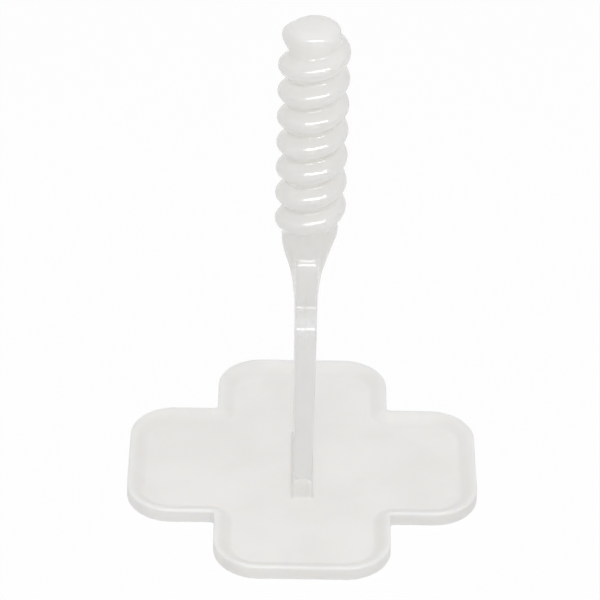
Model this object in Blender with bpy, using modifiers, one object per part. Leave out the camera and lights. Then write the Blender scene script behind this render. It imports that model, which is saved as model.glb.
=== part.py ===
# Tile levelling clip, moulded in one piece: a cross-shaped base tray that lies under the corners
# of four tiles, a thin blade that stands in the joint between them and snaps off at its groove,
# and a coarse threaded post that a cap is screwed down on.
#
# All sizes are in metres. The origin is the centre of the underside and +Z runs up the post.
# X runs across the blade, so the blade's thickness is the width of the joint. Y runs along it.

import math

import bmesh
import bpy
from mathutils import Matrix, Vector
from mathutils.geometry import interpolate_bezier

# Base tray: a cross with four equal arms, a raised rim and a dished floor
BASE_SPAN = 0.0450
ARM_WIDTH = 0.0224
ARM_CORNER_RADIUS = 0.0058
INNER_CORNER_RADIUS = 0.0006
RIM_HEIGHT = 0.0020
RIM_EDGE_RADIUS = 0.00025
RIM_SLOPE_WIDTH = 0.0021
FLOOR_THICKNESS = 0.0010
UNDERSIDE_CHAMFER = 0.0002

# Blade: a flat tongue that stands on the floor, with square shoulders below the round neck
JOINT_WIDTH = 0.0025
BLADE_TOP_THICKNESS = 0.00286
BLADE_WIDTH = 0.0142
SHOULDER_HEIGHT = 0.0280
SHOULDER_RADIUS = 0.0018
TONGUE_WIDTH = 0.0076
TONGUE_HEIGHT = 0.0352
TONGUE_RADIUS = 0.0014
SHOULDER_FILLET = 0.0010
BLADE_EDGE_RADIUS = 0.0003
BLADE_ROOT_DEPTH = 0.0006

# Break groove: a notch across each face of the blade, just above the floor
GROOVE_HEIGHT = 0.0041
GROOVE_DEPTH = 0.0007

# Round post above the blade
POST_HEIGHT = 0.0667
CORE_TOP_RADIUS = 0.00317
CORE_FOOT_RADIUS = 0.00335
CROWN_RADIUS = 0.0009
NECK_TOP_HEIGHT = 0.0375
NECK_END_HEIGHT = 0.0229
NECK_END_RADIUS = 0.00135
NECK_UPPER_PULL = 0.0040
NECK_LOWER_PULL = 0.0108

# Thread: one right-hand rounded rib, which grows out of the neck and ends just below the crown
THREAD_RADIUS = 0.0044
THREAD_PITCH = 0.00362
THREAD_START_HEIGHT = 0.0375
THREAD_FULL_TURNS_START = 0.50
THREAD_FULL_TURNS_END = 7.45
THREAD_LEAD_IN = 1.25
THREAD_LEAD_OUT = 0.15
GROOVE_FLAT_WIDTH = 0.0002
RIB_ROOT_DEPTH = 0.00025
RIB_END_DEPTH = 0.0001

# How finely the round forms are divided
SEGMENTS_PER_TURN = 32
ARC_STEPS = 6
CORNER_STEPS = 7
SLOPE_STEPS = 5
NECK_STEPS = 12
RIB_STEPS = 4
SHARP_ANGLE = 35.0
MERGE_DISTANCE = 0.000001

PLASTIC_COLOUR = (0.80, 0.80, 0.77, 1.0)
PLASTIC_ROUGHNESS = 0.35


def clear_scene():
    for item in list(bpy.data.objects):
        bpy.data.objects.remove(item, do_unlink=True)


def new_collection(name):
    collection = bpy.data.collections.new(name)
    bpy.context.scene.collection.children.link(collection)
    return collection


def natural_plastic():
    """Undyed polypropylene: milky, slightly warm and half glossy."""
    material = bpy.data.materials.new("natural_plastic")
    material.use_nodes = True
    shader = material.node_tree.nodes["Principled BSDF"]
    shader.inputs["Base Color"].default_value = PLASTIC_COLOUR
    shader.inputs["Roughness"].default_value = PLASTIC_ROUGHNESS
    shader.inputs["Metallic"].default_value = 0.0
    return material


def arc(centre, radius, start, end, steps):
    """Points along an arc in a plane, both ends included. The angles are in degrees."""
    points = []
    for step in range(steps + 1):
        angle = math.radians(start + (end - start) * step / steps)
        points.append((centre[0] + radius * math.cos(angle), centre[1] + radius * math.sin(angle)))
    return points


def loft(name, sections, collection):
    """A closed solid through sections that all have the same number of points."""
    solid = bmesh.new()
    rings = [[solid.verts.new(point) for point in section] for section in sections]
    for lower, upper in zip(rings, rings[1:]):
        for here in range(len(lower)):
            there = (here + 1) % len(lower)
            solid.faces.new((lower[here], lower[there], upper[there], upper[here]))
    solid.faces.new(reversed(rings[0]))
    solid.faces.new(rings[-1])
    bmesh.ops.recalc_face_normals(solid, faces=solid.faces)
    return add_mesh(name, solid, collection)


def add_mesh(name, solid, collection):
    mesh = bpy.data.meshes.new(name)
    solid.to_mesh(mesh)
    solid.free()
    item = bpy.data.objects.new(name, mesh)
    collection.objects.link(item)
    return item


def as_helper(item):
    """Keeps a shape that is only joined to, or cut from, the clip out of the render."""
    item.hide_render = True
    item.display_type = "WIRE"
    return item


def boolean(item, other, operation):
    modifier = item.modifiers.new(f"{operation.lower()}_{other.name}", "BOOLEAN")
    modifier.operation = operation
    modifier.solver = "EXACT"
    modifier.object = other


def cross_outline(inset, height):
    """The base's outline, moved inwards by inset, at one height."""
    half_span = BASE_SPAN / 2 - inset
    half_arm = ARM_WIDTH / 2 - inset
    outer = max(ARM_CORNER_RADIUS - inset, RIM_EDGE_RADIUS)
    inner = INNER_CORNER_RADIUS + inset
    corner = half_span - outer
    quarter = arc((corner, outer - half_arm), outer, -90, 0, CORNER_STEPS)
    quarter += arc((corner, half_arm - outer), outer, 0, 90, CORNER_STEPS)
    quarter += arc((half_arm + inner, half_arm + inner), inner, 270, 180, CORNER_STEPS // 2)
    outline = []
    for turn in range(4):
        rotation = Matrix.Rotation(math.radians(90 * turn), 3, "Z")
        outline += [rotation @ Vector((x, y, height)) for x, y in quarter]
    return outline


def make_tray(collection):
    """The base: its profile is carried round the cross, from the underside over the rim to the floor."""
    profile = [(UNDERSIDE_CHAMFER, 0.0), (0.0, UNDERSIDE_CHAMFER)]
    edge_centre = (RIM_EDGE_RADIUS, RIM_HEIGHT - RIM_EDGE_RADIUS)
    profile += arc(edge_centre, RIM_EDGE_RADIUS, 180, 90, ARC_STEPS // 2)
    for step in range(1, SLOPE_STEPS + 1):
        share = step / SLOPE_STEPS
        fall = share * share * (3 - 2 * share)
        inset = RIM_EDGE_RADIUS + RIM_SLOPE_WIDTH * share
        profile.append((inset, RIM_HEIGHT - (RIM_HEIGHT - FLOOR_THICKNESS) * fall))
    return loft("levelling_clip", [cross_outline(inset, height) for inset, height in profile], collection)


def blade_outline():
    """Half of the blade's side view as (y, z) points, from its root up to the middle of its top."""
    half_width = BLADE_WIDTH / 2
    half_tongue = TONGUE_WIDTH / 2
    root = FLOOR_THICKNESS - BLADE_ROOT_DEPTH
    points = [(half_width, root)]
    points += arc(
        (half_width - SHOULDER_RADIUS, SHOULDER_HEIGHT - SHOULDER_RADIUS), SHOULDER_RADIUS, 0, 90, ARC_STEPS
    )
    points += arc(
        (half_tongue + SHOULDER_FILLET, SHOULDER_HEIGHT + SHOULDER_FILLET), SHOULDER_FILLET, 270, 180, ARC_STEPS // 2
    )
    points += arc(
        (half_tongue - TONGUE_RADIUS, TONGUE_HEIGHT - TONGUE_RADIUS), TONGUE_RADIUS, 0, 90, ARC_STEPS
    )
    return points


def blade_half_thickness(height):
    """The blade is a little thicker at its shoulders than at the floor."""
    rise = (height - FLOOR_THICKNESS) / (SHOULDER_HEIGHT - FLOOR_THICKNESS)
    return (JOINT_WIDTH + (BLADE_TOP_THICKNESS - JOINT_WIDTH) * rise) / 2


def make_blade(collection, helpers):
    right = blade_outline()
    outline = right + [(-y, z) for y, z in reversed(right)]
    curve = bpy.data.curves.new("blade_outline", "CURVE")
    curve.dimensions = "2D"
    curve.fill_mode = "BOTH"
    curve.extrude = JOINT_WIDTH / 2 - BLADE_EDGE_RADIUS
    curve.bevel_depth = BLADE_EDGE_RADIUS
    curve.bevel_resolution = 1
    curve.offset = -BLADE_EDGE_RADIUS
    spline = curve.splines.new("POLY")
    spline.points.add(len(outline) - 1)
    for point, (y, z) in zip(spline.points, outline):
        point.co = (y, z, 0.0, 1.0)
    spline.use_cyclic_u = True
    drawn = bpy.data.objects.new("blade_outline", curve)
    collection.objects.link(drawn)
    drawn.matrix_world = Matrix(((0, 0, 1, 0), (1, 0, 0, 0), (0, 1, 0, 0), (0, 0, 0, 1)))
    bpy.context.view_layer.update()
    evaluated = drawn.evaluated_get(bpy.context.evaluated_depsgraph_get())
    mesh = bpy.data.meshes.new_from_object(evaluated)
    mesh.transform(drawn.matrix_world)
    bpy.data.objects.remove(drawn, do_unlink=True)

    solid = bmesh.new()
    solid.from_mesh(mesh)
    bmesh.ops.remove_doubles(solid, verts=solid.verts, dist=MERGE_DISTANCE)
    for vertex in solid.verts:
        vertex.co.x *= blade_half_thickness(vertex.co.z) / (JOINT_WIDTH / 2)
    bmesh.ops.recalc_face_normals(solid, faces=solid.faces)
    blade = add_mesh("blade", solid, helpers)
    for side in (-1, 1):
        boolean(blade, make_groove(side, helpers), "DIFFERENCE")
    return as_helper(blade)


def make_groove(side, helpers):
    """A square bar set on its edge, which cuts a right-angled notch across one face of the blade."""
    solid = bmesh.new()
    bmesh.ops.create_cube(solid, size=1.0)
    length = BLADE_WIDTH + 4 * GROOVE_DEPTH
    breadth = 2 * GROOVE_DEPTH
    surface = side * blade_half_thickness(GROOVE_HEIGHT)
    bmesh.ops.scale(solid, verts=solid.verts, vec=(breadth / math.sqrt(2), length, breadth / math.sqrt(2)))
    bmesh.ops.rotate(solid, verts=solid.verts, matrix=Matrix.Rotation(math.radians(45), 3, "Y"))
    bmesh.ops.translate(solid, verts=solid.verts, vec=(surface, 0.0, GROOVE_HEIGHT))
    name = "break_groove_right" if side > 0 else "break_groove_left"
    return as_helper(add_mesh(name, solid, helpers))


def neck_line():
    """The neck's side view as points from its top, under the thread, to its end inside the blade."""
    return interpolate_bezier(
        Vector((CORE_FOOT_RADIUS, 0, NECK_TOP_HEIGHT)),
        Vector((CORE_FOOT_RADIUS, 0, NECK_TOP_HEIGHT - NECK_UPPER_PULL)),
        Vector((NECK_END_RADIUS, 0, NECK_END_HEIGHT + NECK_LOWER_PULL)),
        Vector((NECK_END_RADIUS, 0, NECK_END_HEIGHT)),
        NECK_STEPS,
    )


def post_radius(height):
    """The post without its thread: a core with a slight draft above, and the neck's curve below."""
    if height >= NECK_TOP_HEIGHT:
        rise = (height - NECK_TOP_HEIGHT) / (POST_HEIGHT - NECK_TOP_HEIGHT)
        return CORE_FOOT_RADIUS + (CORE_TOP_RADIUS - CORE_FOOT_RADIUS) * rise
    line = neck_line()
    for upper, lower in zip(line, line[1:]):
        if height >= lower.z:
            share = (upper.z - height) / (upper.z - lower.z)
            return upper.x + (lower.x - upper.x) * share
    return NECK_END_RADIUS


def make_core(helpers):
    """The round post, turned from one profile that runs down from its crown to the neck's end."""
    crown_start = POST_HEIGHT - CROWN_RADIUS
    crown_radius = post_radius(crown_start)
    points = [Vector((0, 0, POST_HEIGHT))]
    for x, z in arc((crown_radius - CROWN_RADIUS, crown_start), CROWN_RADIUS, 90, 0, ARC_STEPS):
        points.append(Vector((x, 0, z)))
    points += neck_line()
    points.append(Vector((0, 0, NECK_END_HEIGHT)))

    profile = bmesh.new()
    line = [profile.verts.new(point) for point in points]
    for start, end in zip(line, line[1:]):
        profile.edges.new((start, end))
    core = add_mesh("post_core", profile, helpers)
    screw = core.modifiers.new("turn", "SCREW")
    screw.axis = "Z"
    screw.angle = math.radians(360)
    screw.steps = SEGMENTS_PER_TURN
    screw.render_steps = SEGMENTS_PER_TURN
    screw.use_merge_vertices = True
    screw.merge_threshold = MERGE_DISTANCE
    return as_helper(core)


def rib_height(turns, surface):
    """How far the rib stands out of this surface. It rises slowly at its foot and drops at its top end."""
    climb = max(0.0, (turns - THREAD_FULL_TURNS_START + THREAD_LEAD_IN) / THREAD_LEAD_IN)
    drop = max(0.0, (THREAD_FULL_TURNS_END + THREAD_LEAD_OUT - turns) / THREAD_LEAD_OUT)
    share = min(1.0, climb ** 3, drop)
    return (THREAD_RADIUS - surface + RIB_END_DEPTH) * share - RIB_END_DEPTH


def make_thread(helpers):
    """One rounded rib, carried up a right-hand helix that starts and ends inside the post."""
    first = THREAD_FULL_TURNS_START - THREAD_LEAD_IN
    last = THREAD_FULL_TURNS_END + THREAD_LEAD_OUT
    count = round((last - first) * SEGMENTS_PER_TURN)
    half_width = (THREAD_PITCH - GROOVE_FLAT_WIDTH) / 2
    sections = []
    for step in range(count + 1):
        turns = first + step / SEGMENTS_PER_TURN
        angle = 2 * math.pi * turns
        middle = THREAD_START_HEIGHT + turns * THREAD_PITCH
        crest = rib_height(turns, post_radius(middle)) + RIB_ROOT_DEPTH
        section = []
        for place in range(-RIB_STEPS, RIB_STEPS + 1):
            share = place / RIB_STEPS
            level = middle + share * half_width
            radius = post_radius(level) - RIB_ROOT_DEPTH + crest * math.cos(share * math.pi / 2)
            section.append((radius * math.cos(angle), radius * math.sin(angle), level))
        sections.append(section)
    return as_helper(loft("thread_rib", sections, helpers))


def main():
    clear_scene()
    clip_collection = new_collection("tile_levelling_clip")
    helpers = new_collection("joined_shapes")
    clip = make_tray(clip_collection)
    clip.data.materials.append(natural_plastic())
    boolean(clip, make_blade(clip_collection, helpers), "UNION")
    boolean(clip, make_core(helpers), "UNION")
    boolean(clip, make_thread(helpers), "UNION")
    clip.data.shade_smooth()
    clip.data.set_sharp_from_angle(angle=math.radians(SHARP_ANGLE))


main()
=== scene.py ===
# %% [markdown]
# # A tile levelling clip in milky natural plastic
#
# The clip is one moulding: a cross-shaped tray that lies under the corners of four tiles, a thin
# blade that snaps off at a groove, and a coarse threaded post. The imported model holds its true
# sizes. This script makes the fine skin that goes over it, gives it its plastic, and sets up a
# plain studio.

# %% Load the frame
import math

import bmesh
import bpy
from mathutils import Matrix, Vector
from mathutils.geometry import interpolate_bezier


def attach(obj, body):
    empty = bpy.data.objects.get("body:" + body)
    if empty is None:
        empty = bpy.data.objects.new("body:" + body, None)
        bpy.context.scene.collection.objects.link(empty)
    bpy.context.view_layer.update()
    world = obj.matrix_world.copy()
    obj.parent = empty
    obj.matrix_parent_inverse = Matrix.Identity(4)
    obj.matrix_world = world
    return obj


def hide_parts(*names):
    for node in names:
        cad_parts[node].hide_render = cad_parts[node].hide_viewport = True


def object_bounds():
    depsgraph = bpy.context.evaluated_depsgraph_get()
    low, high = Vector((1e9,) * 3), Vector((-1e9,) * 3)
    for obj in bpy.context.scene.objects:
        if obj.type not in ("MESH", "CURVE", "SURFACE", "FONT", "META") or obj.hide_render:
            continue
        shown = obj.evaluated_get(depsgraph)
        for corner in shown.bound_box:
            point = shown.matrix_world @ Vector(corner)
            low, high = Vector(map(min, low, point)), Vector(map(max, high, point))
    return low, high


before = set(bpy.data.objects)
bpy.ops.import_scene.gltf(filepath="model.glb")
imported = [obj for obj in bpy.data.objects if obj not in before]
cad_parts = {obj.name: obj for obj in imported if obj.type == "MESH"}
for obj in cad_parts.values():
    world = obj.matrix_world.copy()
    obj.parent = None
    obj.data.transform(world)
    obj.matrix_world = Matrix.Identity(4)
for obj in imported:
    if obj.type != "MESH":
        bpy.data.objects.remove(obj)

NODE = "levelling_clip"
cad_low, cad_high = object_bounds()
MM = 0.001
print("CAD box in mm:", [round(value / MM, 2) for value in (*cad_low, *cad_high)])


# %% [markdown]
# ## Working with small meshes
#
# Each form below is built in a bmesh, which is Blender's own mesh in memory, with operators such
# as extrude, inset, bevel and spin. A few short helpers keep that readable: one turns a finished
# bmesh into an object, one lets modifiers do their work and keeps the result, and one rounds
# corners and edges.

# %% Helpers for meshes
ROUND_PROFILE = 0.5
SMOOTHING = 0.5


def as_object(name, mesh):
    """Puts a finished bmesh into the scene as an object at the origin."""
    bmesh.ops.recalc_face_normals(mesh, faces=mesh.faces)
    data = bpy.data.meshes.new(name)
    mesh.to_mesh(data)
    mesh.free()
    item = bpy.data.objects.new(name, data)
    bpy.context.scene.collection.objects.link(item)
    return item


def keep_modifiers(item):
    """Replaces an object's mesh by what its modifiers make of it."""
    bpy.context.view_layer.update()
    evaluated = item.evaluated_get(bpy.context.evaluated_depsgraph_get())
    shaped = bpy.data.meshes.new_from_object(evaluated)
    item.modifiers.clear()
    item.data = shaped
    return item


def as_bmesh(item):
    mesh = bmesh.new()
    mesh.from_mesh(item.data)
    return mesh


def even_out(item, rounds):
    """Adds the modifier that evens a surface out."""
    smoothing = item.modifiers.new("smoothing", "SMOOTH")
    smoothing.factor = SMOOTHING
    smoothing.iterations = rounds


def round_off(mesh, geometry, kind, radius, steps):
    """Rounds the corners of a flat outline (VERTICES), or edges (EDGES), with arcs."""
    bmesh.ops.bevel(
        mesh, geom=geometry, affect=kind, offset_type="OFFSET", offset=radius,
        segments=steps, profile=ROUND_PROFILE, material=-1,
    )


def only(kind, geometry):
    """The vertices, or the faces, among what an operator gives back."""
    return [item for item in geometry if isinstance(item, kind)]


def smooth_step(share):
    """0 up to 0, 1 from 1 on, and a smooth rise in between."""
    share = min(1.0, max(0.0, share))
    return share * share * (3 - 2 * share)


def share_between(value, span):
    """0 below the span, 1 above it, and a smooth rise in between."""
    return smooth_step((value - span[0]) / (span[1] - span[0]))


def describe(item):
    sides = [round(side / MM, 2) for side in item.dimensions]
    print(f"{item.name}: {len(item.data.polygons)} faces, {sides} mm")


# %% [markdown]
# ## The tray
#
# The base is a cross with round outer corners and a raised rim that slopes down to a thin floor.
# It could be cut out with Booleans, but a rim is really one profile carried round an outline. So
# the cross starts as one flat face, its corners are rounded with a vertex bevel, and the top is
# then inset again and again while it rises or sinks, which draws the profile of the rim step by
# step.

# %% Make the tray
SPAN = cad_high.x - cad_low.x
ARM_WIDTH = 22.4 * MM
ARM_CORNER = 5.8 * MM
INNER_CORNER = 0.6 * MM
INNER_CORNER_STEPS = 16
RIM_HEIGHT = 2.0 * MM
RIM_EDGE = 0.25 * MM
RIM_SLOPE = 2.1 * MM
FLOOR = 1.0 * MM
UNDERSIDE_EDGE = 0.2 * MM
UNDERSIDE_STEPS = 3
CORNER_STEPS = 24
EDGE_STEPS = 6
SLOPE_STEPS = 14
TINY = 0.001 * MM


def cross_face(mesh):
    """A flat cross at the height of the table, with its corners rounded."""
    half, arm = SPAN / 2, ARM_WIDTH / 2
    corners = []
    for turn in range(4):
        rotation = Matrix.Rotation(math.radians(90 * turn), 3, "Z")
        for x, y in ((half, -arm), (half, arm), (arm, arm)):
            corners.append(mesh.verts.new(rotation @ Vector((x, y, 0.0))))
    mesh.faces.new(corners)
    outer = [corner for corner in corners if corner.co.xy.length > half]
    inner = [corner for corner in corners if corner.co.xy.length < half]
    round_off(mesh, outer, "VERTICES", ARM_CORNER, CORNER_STEPS)
    round_off(mesh, inner, "VERTICES", INNER_CORNER, INNER_CORNER_STEPS)
    return mesh.faces[:]


def rim_profile():
    """Pairs of inset and height, from the top of the outer wall over the rim down to the floor."""
    pairs = []
    for step in range(1, EDGE_STEPS + 1):
        angle = math.pi / 2 * step / EDGE_STEPS
        height = RIM_HEIGHT - RIM_EDGE * (1 - math.sin(angle))
        pairs.append((RIM_EDGE * (1 - math.cos(angle)), height))
    for step in range(1, SLOPE_STEPS + 1):
        share = step / SLOPE_STEPS
        fall = (RIM_HEIGHT - FLOOR) * smooth_step(share)
        pairs.append((RIM_EDGE + RIM_SLOPE * share, RIM_HEIGHT - fall))
    return pairs


def make_tray():
    mesh = bmesh.new()
    bottom = cross_face(mesh)
    raised = bmesh.ops.extrude_face_region(mesh, geom=bottom, use_keep_orig=True)["geom"]
    height = RIM_HEIGHT - RIM_EDGE
    bmesh.ops.translate(mesh, verts=only(bmesh.types.BMVert, raised), vec=(0, 0, height))
    top = only(bmesh.types.BMFace, raised)
    bmesh.ops.recalc_face_normals(mesh, faces=mesh.faces)
    inset = 0.0
    for next_inset, next_height in rim_profile():
        bmesh.ops.inset_region(
            mesh, faces=top, thickness=next_inset - inset, depth=next_height - height,
            use_even_offset=True, use_boundary=True,
        )
        inset, height = next_inset, next_height
    rim_below = [
        edge for edge in mesh.edges
        if all(abs(vertex.co.z) < TINY for vertex in edge.verts)
    ]
    round_off(mesh, rim_below, "EDGES", UNDERSIDE_EDGE, UNDERSIDE_STEPS)
    return mesh


tray = as_object("tray", make_tray())
describe(tray)


# %% [markdown]
# ## The blade
#
# The blade is a flat plate with square shoulders and a narrower tongue on top, and it snaps off
# at a V-shaped notch just above the floor. One outline, drawn from its eight corners and rounded
# like the cross, is extruded to the blade's thickness. Then bisect_plane lays loops of edges
# across it. Only those loops have to move to taper the blade, to pinch it in at the notch and to
# flare it at its root, and the rest follows. The blade also gets a trace thinner towards its two
# upright edges, because a moulding needs some draft to leave its mould.

# %% Make the blade
JOINT_WIDTH = 2.5 * MM
BLADE_TOP_THICKNESS = 2.86 * MM
BLADE_WIDTH = 14.2 * MM
SHOULDER_HEIGHT = 28.0 * MM
SHOULDER_RADIUS = 1.8 * MM
TONGUE_WIDTH = 7.6 * MM
TONGUE_HEIGHT = 35.2 * MM
TONGUE_RADIUS = 1.4 * MM
SHOULDER_FILLET = 1.0 * MM
BLADE_EDGE = 0.3 * MM
BLADE_EDGE_STEPS = 4
BLADE_ROOT_DEPTH = 0.6 * MM
ROOT_FILLET = 0.35 * MM
ROOT_STEPS = 5
GROOVE_HEIGHT = 4.1 * MM
GROOVE_DEPTH = 0.7 * MM
OUTLINE_STEPS = 8
EDGE_DRAFT = 0.02


def cut_across(mesh, height):
    """Adds a level loop of edges round the whole shape."""
    everything = mesh.verts[:] + mesh.edges[:] + mesh.faces[:]
    bmesh.ops.bisect_plane(
        mesh, geom=everything, dist=TINY / 10, plane_co=(0, 0, height), plane_no=(0, 0, 1)
    )


def blade_half_thickness(height):
    rise = (height - FLOOR) / (SHOULDER_HEIGHT - FLOOR)
    return (JOINT_WIDTH + (BLADE_TOP_THICKNESS - JOINT_WIDTH) * rise) / 2


def root_flare(height):
    """How far the fillet at the foot of the blade stands out at this height."""
    share = min(1.0, max(0.0, (height - FLOOR) / ROOT_FILLET))
    return ROOT_FILLET * (1 - math.sqrt(1 - (1 - share) ** 2))


def is_outline_edge(edge, root):
    """Whether an edge runs along one of the blade's two faces, but not along its foot."""
    first, second = (vertex.co for vertex in edge.verts)
    return abs(first.x - second.x) < TINY and max(first.z, second.z) > root + TINY


def make_blade():
    mesh = bmesh.new()
    half_width, half_tongue = BLADE_WIDTH / 2, TONGUE_WIDTH / 2
    root = FLOOR - BLADE_ROOT_DEPTH
    right = [
        (half_width, root), (half_width, SHOULDER_HEIGHT),
        (half_tongue, SHOULDER_HEIGHT), (half_tongue, TONGUE_HEIGHT),
    ]
    points = right + [(-y, z) for y, z in reversed(right)]
    corners = [mesh.verts.new((-JOINT_WIDTH / 2, y, z)) for y, z in points]
    mesh.faces.new(corners)
    for index, radius in ((1, SHOULDER_RADIUS), (2, SHOULDER_FILLET), (3, TONGUE_RADIUS)):
        pair = [corners[index], corners[-1 - index]]
        round_off(mesh, pair, "VERTICES", radius, OUTLINE_STEPS)
    raised = bmesh.ops.extrude_face_region(mesh, geom=mesh.faces[:], use_keep_orig=True)["geom"]
    bmesh.ops.translate(mesh, verts=only(bmesh.types.BMVert, raised), vec=(JOINT_WIDTH, 0, 0))
    bmesh.ops.recalc_face_normals(mesh, faces=mesh.faces)
    outline_edges = [edge for edge in mesh.edges if is_outline_edge(edge, root)]
    round_off(mesh, outline_edges, "EDGES", BLADE_EDGE, BLADE_EDGE_STEPS)
    levels = [FLOOR + ROOT_FILLET * step / ROOT_STEPS for step in range(ROOT_STEPS + 1)]
    levels += [GROOVE_HEIGHT - GROOVE_DEPTH, GROOVE_HEIGHT, GROOVE_HEIGHT + GROOVE_DEPTH]
    for level in levels:
        cut_across(mesh, level)
    for vertex in mesh.verts:
        draft = 1 - EDGE_DRAFT * (vertex.co.y / half_width) ** 2
        half = blade_half_thickness(vertex.co.z) * draft
        pinch = GROOVE_DEPTH if abs(vertex.co.z - GROOVE_HEIGHT) < TINY else 0.0
        flare = root_flare(vertex.co.z)
        vertex.co.x *= (half - pinch + flare) / (JOINT_WIDTH / 2)
        vertex.co.y *= (half_width + flare) / half_width
    return mesh


blade = as_object("blade", make_blade())
describe(blade)


# %% [markdown]
# ## The round post
#
# A turned form is drawn as half of its side view and spun round its axis. The line runs from the
# crown down a slightly tapered core and in along a soft S-curve to the neck. A Bezier curve gives
# that neck from four points, where a row of hand-set points would show as ripples in the gloss.

# %% Spin the post
POST_HEIGHT = cad_high.z
CORE_TOP_RADIUS = 3.17 * MM
CORE_FOOT_RADIUS = 3.35 * MM
CROWN_RADIUS = 1.15 * MM
NECK_TOP_HEIGHT = 37.5 * MM
NECK_END_HEIGHT = 22.9 * MM
NECK_END_RADIUS = 1.35 * MM
NECK_UPPER_PULL = 4.0 * MM
NECK_LOWER_PULL = 10.8 * MM
CROWN_STEPS = 8
NECK_STEPS = 30
TURN_STEPS = 96


def neck_line():
    """The neck's side view, from its top under the thread to its end inside the blade."""
    return interpolate_bezier(
        Vector((CORE_FOOT_RADIUS, 0, NECK_TOP_HEIGHT)),
        Vector((CORE_FOOT_RADIUS, 0, NECK_TOP_HEIGHT - NECK_UPPER_PULL)),
        Vector((NECK_END_RADIUS, 0, NECK_END_HEIGHT + NECK_LOWER_PULL)),
        Vector((NECK_END_RADIUS, 0, NECK_END_HEIGHT)),
        NECK_STEPS,
    )


NECK_LINE = neck_line()


def post_radius(height):
    """The post without its thread: a slightly tapered core, and the neck's curve below it."""
    if height >= NECK_TOP_HEIGHT:
        rise = (height - NECK_TOP_HEIGHT) / (POST_HEIGHT - NECK_TOP_HEIGHT)
        return CORE_FOOT_RADIUS + (CORE_TOP_RADIUS - CORE_FOOT_RADIUS) * rise
    for upper, lower in zip(NECK_LINE, NECK_LINE[1:]):
        if height >= lower.z:
            share = (upper.z - height) / (upper.z - lower.z)
            return upper.x + (lower.x - upper.x) * share
    return NECK_END_RADIUS


def post_profile():
    """Half of the post's side view, from the middle of its crown to the tip in the blade."""
    crown_start = POST_HEIGHT - CROWN_RADIUS
    flat_radius = post_radius(crown_start) - CROWN_RADIUS
    points = [Vector((0, 0, POST_HEIGHT))]
    for step in range(CROWN_STEPS + 1):
        angle = math.pi / 2 * step / CROWN_STEPS
        out = flat_radius + CROWN_RADIUS * math.sin(angle)
        points.append(Vector((out, 0, crown_start + CROWN_RADIUS * math.cos(angle))))
    return points + NECK_LINE + [Vector((0, 0, NECK_END_HEIGHT))]


def make_post():
    mesh = bmesh.new()
    line = [mesh.verts.new(point) for point in post_profile()]
    edges = [mesh.edges.new(pair) for pair in zip(line, line[1:])]
    bmesh.ops.spin(
        mesh, geom=line + edges, cent=(0, 0, 0), axis=(0, 0, 1), dvec=(0, 0, 0),
        angle=2 * math.pi, steps=TURN_STEPS, use_merge=True,
    )
    bmesh.ops.remove_doubles(mesh, verts=mesh.verts, dist=TINY)
    return mesh


post = as_object("post", make_post())
describe(post)


# %% [markdown]
# ## The thread
#
# A thread is one rib that climbs round the post. Spin can climb too: with dvec it moves up a
# little at every step, so a small arch-shaped section draws a whole helix. A real moulded rib
# grows slowly out of the post at its lower end and drops off at its upper end. Each vertex's
# place on the helix tells how many turns up it lies, and how far it stands out is scaled by that.
# The last half turn climbs a trace faster and is cut off level just below the crown, where it
# stands out to the left as a small horn.

# %% Spin the thread
THREAD_RADIUS = 4.4 * MM
THREAD_PITCH = 3.62 * MM
THREAD_START_HEIGHT = 37.6 * MM
FULL_TURNS_START = 0.5
FULL_TURNS_END = 7.4
LEAD_IN = 1.25
LEAD_OUT = 0.2
END_RISE = 0.15 * MM
END_RISE_TURNS = (6.9, 7.5)
END_BELOW_CROWN = 0.6 * MM
GROOVE_FLAT = 0.2 * MM
RIB_ROOT_DEPTH = 0.08 * MM
RIB_STEPS = 9
ARCH_HEIGHT = 1.0 * MM


def rib_share(turns):
    """How much of its full height the rib has, this many turns up the thread."""
    climb = max(0.0, (turns - FULL_TURNS_START + LEAD_IN) / LEAD_IN)
    drop = max(0.0, (FULL_TURNS_END + LEAD_OUT - turns) / LEAD_OUT)
    return min(1.0, climb ** 3, smooth_step(drop))


def arch_section(mesh, bottom):
    """The rib's section, half a wave of ARCH_HEIGHT, as a closed line."""
    half_width = (THREAD_PITCH - GROOVE_FLAT) / 2
    arch = []
    for step in range(-RIB_STEPS, RIB_STEPS + 1):
        place = step / RIB_STEPS
        out = THREAD_RADIUS + math.cos(place * math.pi / 2) * ARCH_HEIGHT
        arch.append(mesh.verts.new((out, 0, bottom + place * half_width)))
    return arch, [mesh.edges.new(pair) for pair in zip(arch, arch[1:] + arch[:1])]


def set_on_post(vertex):
    """Moves a vertex of the plain helix to where the real rib lies on the post."""
    around = math.atan2(vertex.co.y, vertex.co.x) / (2 * math.pi)
    climbed = (vertex.co.z - THREAD_START_HEIGHT) / THREAD_PITCH
    turns = around + round(climbed - around)
    arched = (vertex.co.xy.length - THREAD_RADIUS) / ARCH_HEIGHT
    surface = post_radius(THREAD_START_HEIGHT + turns * THREAD_PITCH)
    crest = (THREAD_RADIUS - surface) * rib_share(turns) + RIB_ROOT_DEPTH
    radius = post_radius(vertex.co.z) - RIB_ROOT_DEPTH + crest * arched
    vertex.co.xy *= radius / vertex.co.xy.length
    vertex.co.z += END_RISE * share_between(turns, END_RISE_TURNS)
    vertex.co.z = min(vertex.co.z, POST_HEIGHT - END_BELOW_CROWN)


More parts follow.
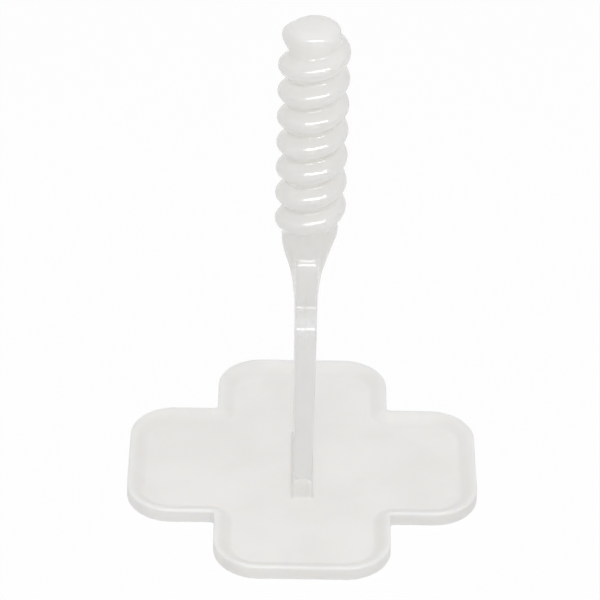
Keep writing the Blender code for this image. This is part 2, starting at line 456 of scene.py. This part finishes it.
def make_thread():
    first = FULL_TURNS_START - LEAD_IN
    total = FULL_TURNS_END + LEAD_OUT - first
    steps = round(total * TURN_STEPS)
    mesh = bmesh.new()
    arch, edges = arch_section(mesh, THREAD_START_HEIGHT + first * THREAD_PITCH)
    start = Matrix.Rotation(2 * math.pi * first, 3, "Z")
    bmesh.ops.rotate(mesh, verts=arch, cent=(0, 0, 0), matrix=start)
    bmesh.ops.spin(
        mesh, geom=arch + edges, cent=(0, 0, 0), axis=(0, 0, 1),
        dvec=(0, 0, total * THREAD_PITCH / steps), angle=2 * math.pi * total, steps=steps,
        use_merge=False,
    )
    ends = [edge for edge in mesh.edges if edge.is_boundary]
    bmesh.ops.holes_fill(mesh, edges=ends, sides=0)
    for vertex in mesh.verts:
        set_on_post(vertex)
    return mesh


thread = as_object("thread", make_thread())
describe(thread)


# %% [markdown]
# ## One skin
#
# A moulding has no seams between its forms: a small fillet runs along every corner where two of
# them meet. A Boolean union would leave knife-sharp creases there. A voxel remesh lays one new
# skin of small, even quads over all four shapes and softens each crease by about a voxel, which
# is just the fillet that a mould's cutter leaves. A light smoothing takes the voxels' own pattern
# away.

# %% Fuse the four forms
VOXEL = 0.11 * MM
SMOOTHING_ROUNDS = 6


def fuse(name, parts):
    """Lays one skin over overlapping closed shapes, which it takes away."""
    joined = bmesh.new()
    for part in parts:
        joined.from_mesh(part.data)
        bpy.data.objects.remove(part, do_unlink=True)
    whole = as_object(name, joined)
    skin = whole.modifiers.new("skin", "REMESH")
    skin.mode = "VOXEL"
    skin.voxel_size = VOXEL
    skin.adaptivity = 0.0
    even_out(whole, SMOOTHING_ROUNDS)
    return keep_modifiers(whole)


clip = fuse("clip_moulding", [tray, blade, post, thread])
describe(clip)


# %% [markdown]
# ## Soft places and the parting line
#
# Where the flat tongue runs into the round neck, and where the thread ends under the crown, the
# real part looks melted together. Many rounds of smooth_vert on just those vertices do that. The
# mould's two halves meet in one upright plane, and on the blade's shoulder the plastic keeps a
# fine ridge there, which splits the shoulder's highlight in two. bisect_plane cuts the skin along
# the plane and close beside it, so that the ridge gets edges of its own. At last the soft neck is
# bent a trace to one side, as in the photograph.

# %% Soften, mark and bend
PARTING_X = 0.1 * MM
RIDGE_WIDTH = 0.2 * MM
RIDGE_HEIGHT = 0.1 * MM
RIDGE_RISE = (20.0 * MM, 25.0 * MM)
RIDGE_FADE = (28.5 * MM, 31.0 * MM)
TONGUE_TOP = (29.5 * MM, 36.8 * MM)
TONGUE_TOP_ROUNDS = 50
CROWN_ZONE = (POST_HEIGHT - 2.2 * MM, POST_HEIGHT + TINY)
CROWN_ROUNDS = 12
NECK_BEND = (34.0 * MM, 40.0 * MM)
NECK_LEAN = 0.3 * MM
POST_LEAN = 0.14 * MM


def mark_parting_line(mesh):
    """Raises a fine ridge in the mould's parting plane, and tells how many vertices it moved."""
    lowest, highest = RIDGE_RISE[0], RIDGE_FADE[1]
    zone = [face for face in mesh.faces if lowest < face.calc_center_median().z < highest]
    for x in (PARTING_X - RIDGE_WIDTH, PARTING_X, PARTING_X + RIDGE_WIDTH):
        edges = dict.fromkeys(edge for face in zone for edge in face.edges)
        corners = dict.fromkeys(vertex for face in zone for vertex in face.verts)
        cut = bmesh.ops.bisect_plane(
            mesh, geom=[*corners, *edges, *zone], dist=TINY, plane_co=(x, 0, 0),
            plane_no=(1, 0, 0),
        )
        zone = only(bmesh.types.BMFace, cut["geom"])
    mesh.normal_update()
    ridge = [
        vertex for vertex in mesh.verts
        if abs(vertex.co.x - PARTING_X) < TINY and lowest < vertex.co.z < highest
    ]
    moves = []
    for vertex in ridge:
        height = vertex.co.z
        share = share_between(height, RIDGE_RISE) * (1 - share_between(height, RIDGE_FADE))
        moves.append(vertex.normal * RIDGE_HEIGHT * share)
    for vertex, move in zip(ridge, moves):
        vertex.co += move
    return len(ridge)


def soften(mesh, low, high, rounds):
    """Melts the edges between two heights into each other."""
    soft = [vertex for vertex in mesh.verts if low < vertex.co.z < high]
    for _ in range(rounds):
        bmesh.ops.smooth_vert(
            mesh, verts=soft, factor=SMOOTHING, use_axis_x=True, use_axis_y=True, use_axis_z=True
        )


def lean(mesh):
    """Bends the soft neck a trace to the right, and leans the post a trace more."""
    bend_end = NECK_BEND[1]
    for vertex in mesh.verts:
        neck = share_between(vertex.co.z, NECK_BEND)
        above = max(0.0, (vertex.co.z - bend_end) / (POST_HEIGHT - bend_end))
        vertex.co.x += NECK_LEAN * neck + POST_LEAN * above


skin_mesh = as_bmesh(clip)
soften(skin_mesh, *TONGUE_TOP, TONGUE_TOP_ROUNDS)
soften(skin_mesh, *CROWN_ZONE, CROWN_ROUNDS)
ridge_vertices = mark_parting_line(skin_mesh)
lean(skin_mesh)
skin_mesh.to_mesh(clip.data)
skin_mesh.free()
print("parting line:", ridge_vertices, "vertices raised")


# %% [markdown]
# ## A skin of a sensible weight
#
# The remesh spends as many faces on the flat floor as on the thread. Decimate collapses edges
# where the surface is flat first, so the curves keep theirs. Its uneven triangles would make the
# highlights jump, though. So a dense copy lends its normals: the Data Transfer modifier reads
# them off the copy's nearest face, and the thin skin is shaded as evenly as the full one.

# %% Thin the skin
MOST_TRIANGLES = 190000
SHADING_ROUNDS = 5


def triangles_of(item):
    return sum(len(face.vertices) - 2 for face in item.data.polygons)


def dense_copy(item):
    """A slightly softer copy of the full skin, which only lends its normals."""
    copy = bpy.data.objects.new("dense_skin", item.data.copy())
    bpy.context.scene.collection.objects.link(copy)
    even_out(copy, SHADING_ROUNDS)
    keep_modifiers(copy)
    copy.data.shade_smooth()
    return copy


def keep_in_box(item):
    """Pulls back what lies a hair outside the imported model's box."""
    for vertex in item.data.vertices:
        for axis in range(3):
            vertex.co[axis] = min(cad_high[axis], max(cad_low[axis], vertex.co[axis]))


def thin(item):
    """Takes faces away where the surface is flat, and shades the rest from the full skin."""
    dense = dense_copy(item)
    fewer = item.modifiers.new("fewer", "DECIMATE")
    fewer.ratio = MOST_TRIANGLES / triangles_of(item)
    keep_modifiers(item)
    keep_in_box(item)
    item.data.shade_smooth()
    shading = item.modifiers.new("even_shading", "DATA_TRANSFER")
    shading.object = dense
    shading.use_loop_data = True
    shading.data_types_loops = {"CUSTOM_NORMAL"}
    shading.loop_mapping = "POLYINTERP_NEAREST"
    keep_modifiers(item)
    bpy.data.objects.remove(dense, do_unlink=True)


thin(clip)
print("clip:", triangles_of(clip), "triangles")


# %% [markdown]
# ## Small helpers for nodes
#
# A material is a tree of nodes. Two helpers make one node with its values and one shared node
# group with named sockets, so that the trees below read as short recipes.

# %% Helpers for nodes
WHITE = (1.0, 1.0, 1.0, 1.0)


def add_node(tree, kind, inputs=None, **settings):
    """Adds a node, sets its own settings, and fills its inputs with values or links."""
    node = tree.nodes.new(kind)
    for name, value in settings.items():
        setattr(node, name, value)
    for name, value in (inputs or {}).items():
        if isinstance(value, bpy.types.NodeSocket):
            tree.links.new(value, node.inputs[name])
        else:
            node.inputs[name].default_value = value
    return node


def new_group(name, inputs, outputs):
    """A node group whose sockets are given as pairs of name and kind, with its end nodes."""
    group = bpy.data.node_groups.new(name, "ShaderNodeTree")
    for direction, sockets in (("INPUT", inputs), ("OUTPUT", outputs)):
        for socket, kind in sockets:
            kind = f"NodeSocket{kind}"
            group.interface.new_socket(name=socket, in_out=direction, socket_type=kind)
    return group, group.nodes.new("NodeGroupInput"), group.nodes.new("NodeGroupOutput")


# %% [markdown]
# ## Clouds and grain
#
# Undyed polypropylene is never quite even. It has faint clouds where the melt flowed and cooled,
# and its skin copies the mould's fine grain. Both are made of noise that reads Object
# coordinates, so they stay in place on the part. Each is a node group that puts out masks, and
# the material decides what they do.

# %% Node groups for clouds and grain
NOISE_LOW, NOISE_HIGH = 0.3, 0.7
CLOUD_DETAIL = 3.0
CLOUD_DISTORTION = 0.6
FINE_DETAIL = 2.0
WIDE_DETAIL = 1.0
WIDE_SCALE = 0.12
WIDE_HEIGHT = 2.5


def make_cloud_group():
    """Soft drifting clouds, as a mask from 0 to 1."""
    group, start, end = new_group(
        "melt_clouds", [("Vector", "Vector"), ("Scale", "Float")], [("Clouds", "Float")]
    )
    noise = add_node(
        group, "ShaderNodeTexNoise",
        {
            "Vector": start.outputs["Vector"], "Scale": start.outputs["Scale"],
            "Detail": CLOUD_DETAIL, "Distortion": CLOUD_DISTORTION,
        },
    )
    spread = add_node(
        group, "ShaderNodeMapRange",
        {"Value": noise.outputs["Fac"], "From Min": NOISE_LOW, "From Max": NOISE_HIGH},
        interpolation_type="SMOOTHSTEP",
    )
    group.links.new(spread.outputs["Result"], end.inputs["Clouds"])
    return group


def make_grain_group():
    """The mould's fine grain, as a height and as a mask of where it is duller."""
    group, start, end = new_group(
        "mould_grain", [("Vector", "Vector"), ("Scale", "Float")],
        [("Height", "Float"), ("Dullness", "Float")],
    )
    place, scale = start.outputs["Vector"], start.outputs["Scale"]
    fine = add_node(
        group, "ShaderNodeTexNoise", {"Vector": place, "Scale": scale, "Detail": FINE_DETAIL}
    )
    wide_scale = add_node(
        group, "ShaderNodeMath", {0: scale, 1: WIDE_SCALE}, operation="MULTIPLY"
    )
    wide = add_node(
        group, "ShaderNodeTexNoise",
        {"Vector": place, "Scale": wide_scale.outputs[0], "Detail": WIDE_DETAIL},
    )
    height = add_node(
        group, "ShaderNodeMath",
        {0: wide.outputs["Fac"], 1: WIDE_HEIGHT, 2: fine.outputs["Fac"]},
        operation="MULTIPLY_ADD",
    )
    group.links.new(height.outputs[0], end.inputs["Height"])
    group.links.new(wide.outputs["Fac"], end.inputs["Dullness"])
    return group


melt_clouds = make_cloud_group()
mould_grain = make_grain_group()
print("node groups:", melt_clouds.name, mould_grain.name)


# %% [markdown]
# ## Milky natural plastic
#
# Light goes into this plastic, wanders about and comes out again a few millimetres away. That
# softens every shadow, and it is what makes the part look milky and not painted white. Subsurface
# does exactly this. One plastic takes two materials here. The thin tray is duller and scatters
# light over little more than its own thickness. The thick post is glossier and lets light
# wander across its whole width. The plastic is one colour, yet the post's material is given a
# darker colour than the tray's. That darker colour is painted shade, which makes the post and
# blade render darker. The notch, where the blade is thinnest, is the line between them.

# %% The clip's materials
PLATE_COLOUR = (0.865, 0.858, 0.848, 1.0)
# Painted shade: the post and blade are the tray's own plastic, and this darker colour only makes
# them render darker.
POST_COLOUR_SHADED = (0.78, 0.77, 0.75, 1.0)
CLOUD_SHADE = (0.965, 0.965, 0.96, 1.0)
PLASTIC_IOR = 1.49
SCATTER_RADIUS = (1.0, 0.95, 0.85)
PLATE_SCATTER = 1.2 * MM
POST_SCATTER = 12.0 * MM
PLATE_ROUGHNESS = (0.32, 0.42)
POST_ROUGHNESS = (0.09, 0.14)
PLATE_GRAIN = 0.25
POST_GRAIN = 0.12
CLOUDS_PER_METRE = 110.0
GRAIN_PER_METRE = 1400.0
GRAIN_RELIEF = 0.02 * MM


def make_plastic(name, colour, scatter, roughness_range, grain_depth):
    material = bpy.data.materials.new(name)
    material.use_nodes = True
    tree = material.node_tree
    shader = tree.nodes["Principled BSDF"]
    place = add_node(tree, "ShaderNodeTexCoord").outputs["Object"]

    clouds = add_node(tree, "ShaderNodeGroup", node_tree=melt_clouds)
    tree.links.new(place, clouds.inputs["Vector"])
    clouds.inputs["Scale"].default_value = CLOUDS_PER_METRE
    cloudy = add_node(
        tree, "ShaderNodeMix", {0: clouds.outputs["Clouds"], 6: colour, 7: CLOUD_SHADE},
        data_type="RGBA", blend_type="MULTIPLY",
    )
    tree.links.new(cloudy.outputs[2], shader.inputs["Base Color"])

    grain = add_node(tree, "ShaderNodeGroup", node_tree=mould_grain)
    tree.links.new(place, grain.inputs["Vector"])
    grain.inputs["Scale"].default_value = GRAIN_PER_METRE
    roughness = add_node(
        tree, "ShaderNodeMapRange",
        {
            "Value": grain.outputs["Dullness"], "From Min": NOISE_LOW, "From Max": NOISE_HIGH,
            "To Min": roughness_range[0], "To Max": roughness_range[1],
        },
    )
    tree.links.new(roughness.outputs["Result"], shader.inputs["Roughness"])
    bump = add_node(
        tree, "ShaderNodeBump",
        {"Height": grain.outputs["Height"], "Strength": grain_depth, "Distance": GRAIN_RELIEF},
    )
    tree.links.new(bump.outputs["Normal"], shader.inputs["Normal"])

    shader.inputs["IOR"].default_value = PLASTIC_IOR
    shader.inputs["Subsurface Weight"].default_value = 1.0
    shader.inputs["Subsurface Radius"].default_value = SCATTER_RADIUS
    shader.inputs["Subsurface Scale"].default_value = scatter
    return material


clip.data.materials.clear()
for recipe in (
    ("milky_plastic_thin", PLATE_COLOUR, PLATE_SCATTER, PLATE_ROUGHNESS, PLATE_GRAIN),
    # The post's material carries the darker colour, which is painted shade.
    ("milky_plastic_thick_shaded", POST_COLOUR_SHADED, POST_SCATTER, POST_ROUGHNESS, POST_GRAIN),
):
    clip.data.materials.append(make_plastic(*recipe))
# Faces above the notch get the darker colour, which is painted shade.
for face in clip.data.polygons:
    face.material_index = 1 if face.center.z > GROOVE_HEIGHT else 0
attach(clip, "root")
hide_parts(NODE)
print("faces above the notch:", sum(face.material_index for face in clip.data.polygons))


# %% [markdown]
# ## Floor, light and backdrop
#
# The clip stands on a plain white floor. To the camera, floor and backdrop are plain white, while
# the floor keeps a part of its real shading, so that the clip's own soft shadow stays and it
# doesn't float. The light on the clip is the even light of a white tent, plus two lamps above the
# camera. The soft box is high up and lights the clip. The strip is low and only shows in the
# gloss, as the short bright arc on each turn of the thread. Neither lamp casts a shadow: light
# passes through this plastic and fills its own shadows, which scattering near the surface can't
# do. Sizes are in metres, angles in degrees, and a radiance of 1 is as bright as full white.

# %% Floor and light
FLOOR_SIZE = 1.5
FLOOR_GAP = 0.02 * MM
FLOOR_WHITE = (0.95, 0.95, 0.95, 1.0)
FLOOR_GLOW_SHARE = 0.93
TENT_STRENGTH = 0.51
LAMP_DISTANCE = 0.7
LAMP_AZIMUTH = 5.0
SOFT_BOX = {"size": (0.5, 0.4), "elevation": 66.0, "radiance": 3.7}
STRIP = {"size": (0.9, 0.18), "elevation": 32.0, "radiance": 10.0, "only_gloss": True}


def seen_directly(tree):
    """1 for what the camera sees itself, in a mirror or through glass, else 0."""
    path = add_node(tree, "ShaderNodeLightPath")
    camera_or_gloss = add_node(
        tree, "ShaderNodeMath",
        {0: path.outputs["Is Camera Ray"], 1: path.outputs["Is Glossy Ray"]}, operation="MAXIMUM",
    )
    every = add_node(
        tree, "ShaderNodeMath",
        {0: camera_or_gloss.outputs[0], 1: path.outputs["Is Transmission Ray"]},
        operation="MAXIMUM",
    )
    return every.outputs[0]


def make_floor():
    mesh = bmesh.new()
    bmesh.ops.create_grid(mesh, x_segments=1, y_segments=1, size=FLOOR_SIZE)
    bmesh.ops.translate(mesh, verts=mesh.verts, vec=(0, 0, -FLOOR_GAP))
    floor = as_object("studio_floor", mesh)
    material = bpy.data.materials.new("white_floor")
    material.use_nodes = True
    tree = material.node_tree
    tree.nodes.remove(tree.nodes["Principled BSDF"])
    paint = add_node(tree, "ShaderNodeBsdfDiffuse", {"Color": FLOOR_WHITE})
    glow = add_node(tree, "ShaderNodeEmission", {"Color": WHITE, "Strength": 1.0})
    share = add_node(
        tree, "ShaderNodeMath", {0: seen_directly(tree), 1: FLOOR_GLOW_SHARE},
        operation="MULTIPLY",
    )
    mix = add_node(
        tree, "ShaderNodeMixShader",
        {0: share.outputs[0], 1: paint.outputs["BSDF"], 2: glow.outputs["Emission"]},
    )
    tree.links.new(mix.outputs[0], tree.nodes["Material Output"].inputs["Surface"])
    floor.data.materials.append(material)


def make_tent():
    world = bpy.data.worlds.new("white_tent")
    bpy.context.scene.world = world
    world.use_nodes = True
    tree = world.node_tree
    background = tree.nodes["Background"]
    background.inputs["Color"].default_value = WHITE
    strength = add_node(
        tree, "ShaderNodeMapRange",
        {"Value": seen_directly(tree), "To Min": TENT_STRENGTH, "To Max": 1.0},
    )
    tree.links.new(strength.outputs["Result"], background.inputs["Strength"])


def make_lamp(name, size, elevation, radiance, only_gloss=False):
    """A lamp above the camera, without shadow. It lights the clip or only shows in its gloss."""
    lamp = bpy.data.lights.new(name, "AREA")
    lamp.shape = "RECTANGLE"
    lamp.size, lamp.size_y = size
    lamp.energy = radiance * math.pi * size[0] * size[1]
    lamp.use_shadow = False
    item = bpy.data.objects.new(name, lamp)
    bpy.context.scene.collection.objects.link(item)
    item.visible_diffuse = not only_gloss
    item.visible_glossy = only_gloss
    up, aside = math.radians(elevation), math.radians(LAMP_AZIMUTH)
    level = math.cos(up)
    towards = Vector((math.sin(aside) * level, -math.cos(aside) * level, math.sin(up)))
    item.location = Vector((0, 0, POST_HEIGHT / 2)) + towards * LAMP_DISTANCE
    item.rotation_euler = towards.to_track_quat("Z", "Y").to_euler()


make_floor()
make_tent()
make_lamp("soft_box", **SOFT_BOX)
make_lamp("strip", **STRIP)


# %% [markdown]
# ## The camera
#
# The photograph was taken from the front, a little more than a third of a right angle above the
# table, with a long lens. The camera's place is worked out from where the middle of the clip's
# underside lies in the picture, how far away it is and how long the lens is, in pixels of a 600
# by 600 frame.

# %% The camera
FRAME_PIXELS = 600
SENSOR = 36.0
FOCAL_PIXELS = 3476
CAMERA_DISTANCE = 452 * MM
CAMERA_ELEVATION = 34.16
CAMERA_AZIMUTH = 0.57
CAMERA_ROLL = 1.2
BASE_PIXEL = (302.0, 471.5)
CLIP_START = 10 * MM


def camera_axes():
    """The directions to the right, up and forward, as the camera sees them."""
    tilt = math.radians(CAMERA_ELEVATION)
    turn = math.radians(CAMERA_AZIMUTH)
    roll = math.radians(CAMERA_ROLL)
    level = math.cos(tilt)
    forward = Vector((level * math.sin(turn), level * math.cos(turn), -math.sin(tilt)))
    right = Vector((math.cos(turn), -math.sin(turn), 0))
    up = right.cross(forward)
    rolled_right = math.cos(roll) * right + math.sin(roll) * up
    rolled_up = math.cos(roll) * up - math.sin(roll) * right
    return rolled_right, rolled_up, forward


def make_camera():
    right, up, forward = camera_axes()
    metres_per_pixel = CAMERA_DISTANCE / FOCAL_PIXELS
    across = (BASE_PIXEL[0] - FRAME_PIXELS / 2) * metres_per_pixel
    down = (BASE_PIXEL[1] - FRAME_PIXELS / 2) * metres_per_pixel
    data = bpy.data.cameras.new("camera")
    data.sensor_width = SENSOR
    data.lens = FOCAL_PIXELS * SENSOR / FRAME_PIXELS
    data.clip_start = CLIP_START
    camera = bpy.data.objects.new("camera", data)
    bpy.context.scene.collection.objects.link(camera)
    turned = Matrix((right, up, -forward)).transposed()
    place = up * down - right * across - forward * CAMERA_DISTANCE
    camera.matrix_world = Matrix.Translation(place) @ turned.to_4x4()
    bpy.context.scene.camera = camera
    return camera


print("camera at", [round(value / MM) for value in make_camera().location], "mm")
bpy.context.scene.view_settings.view_transform = "Standard"
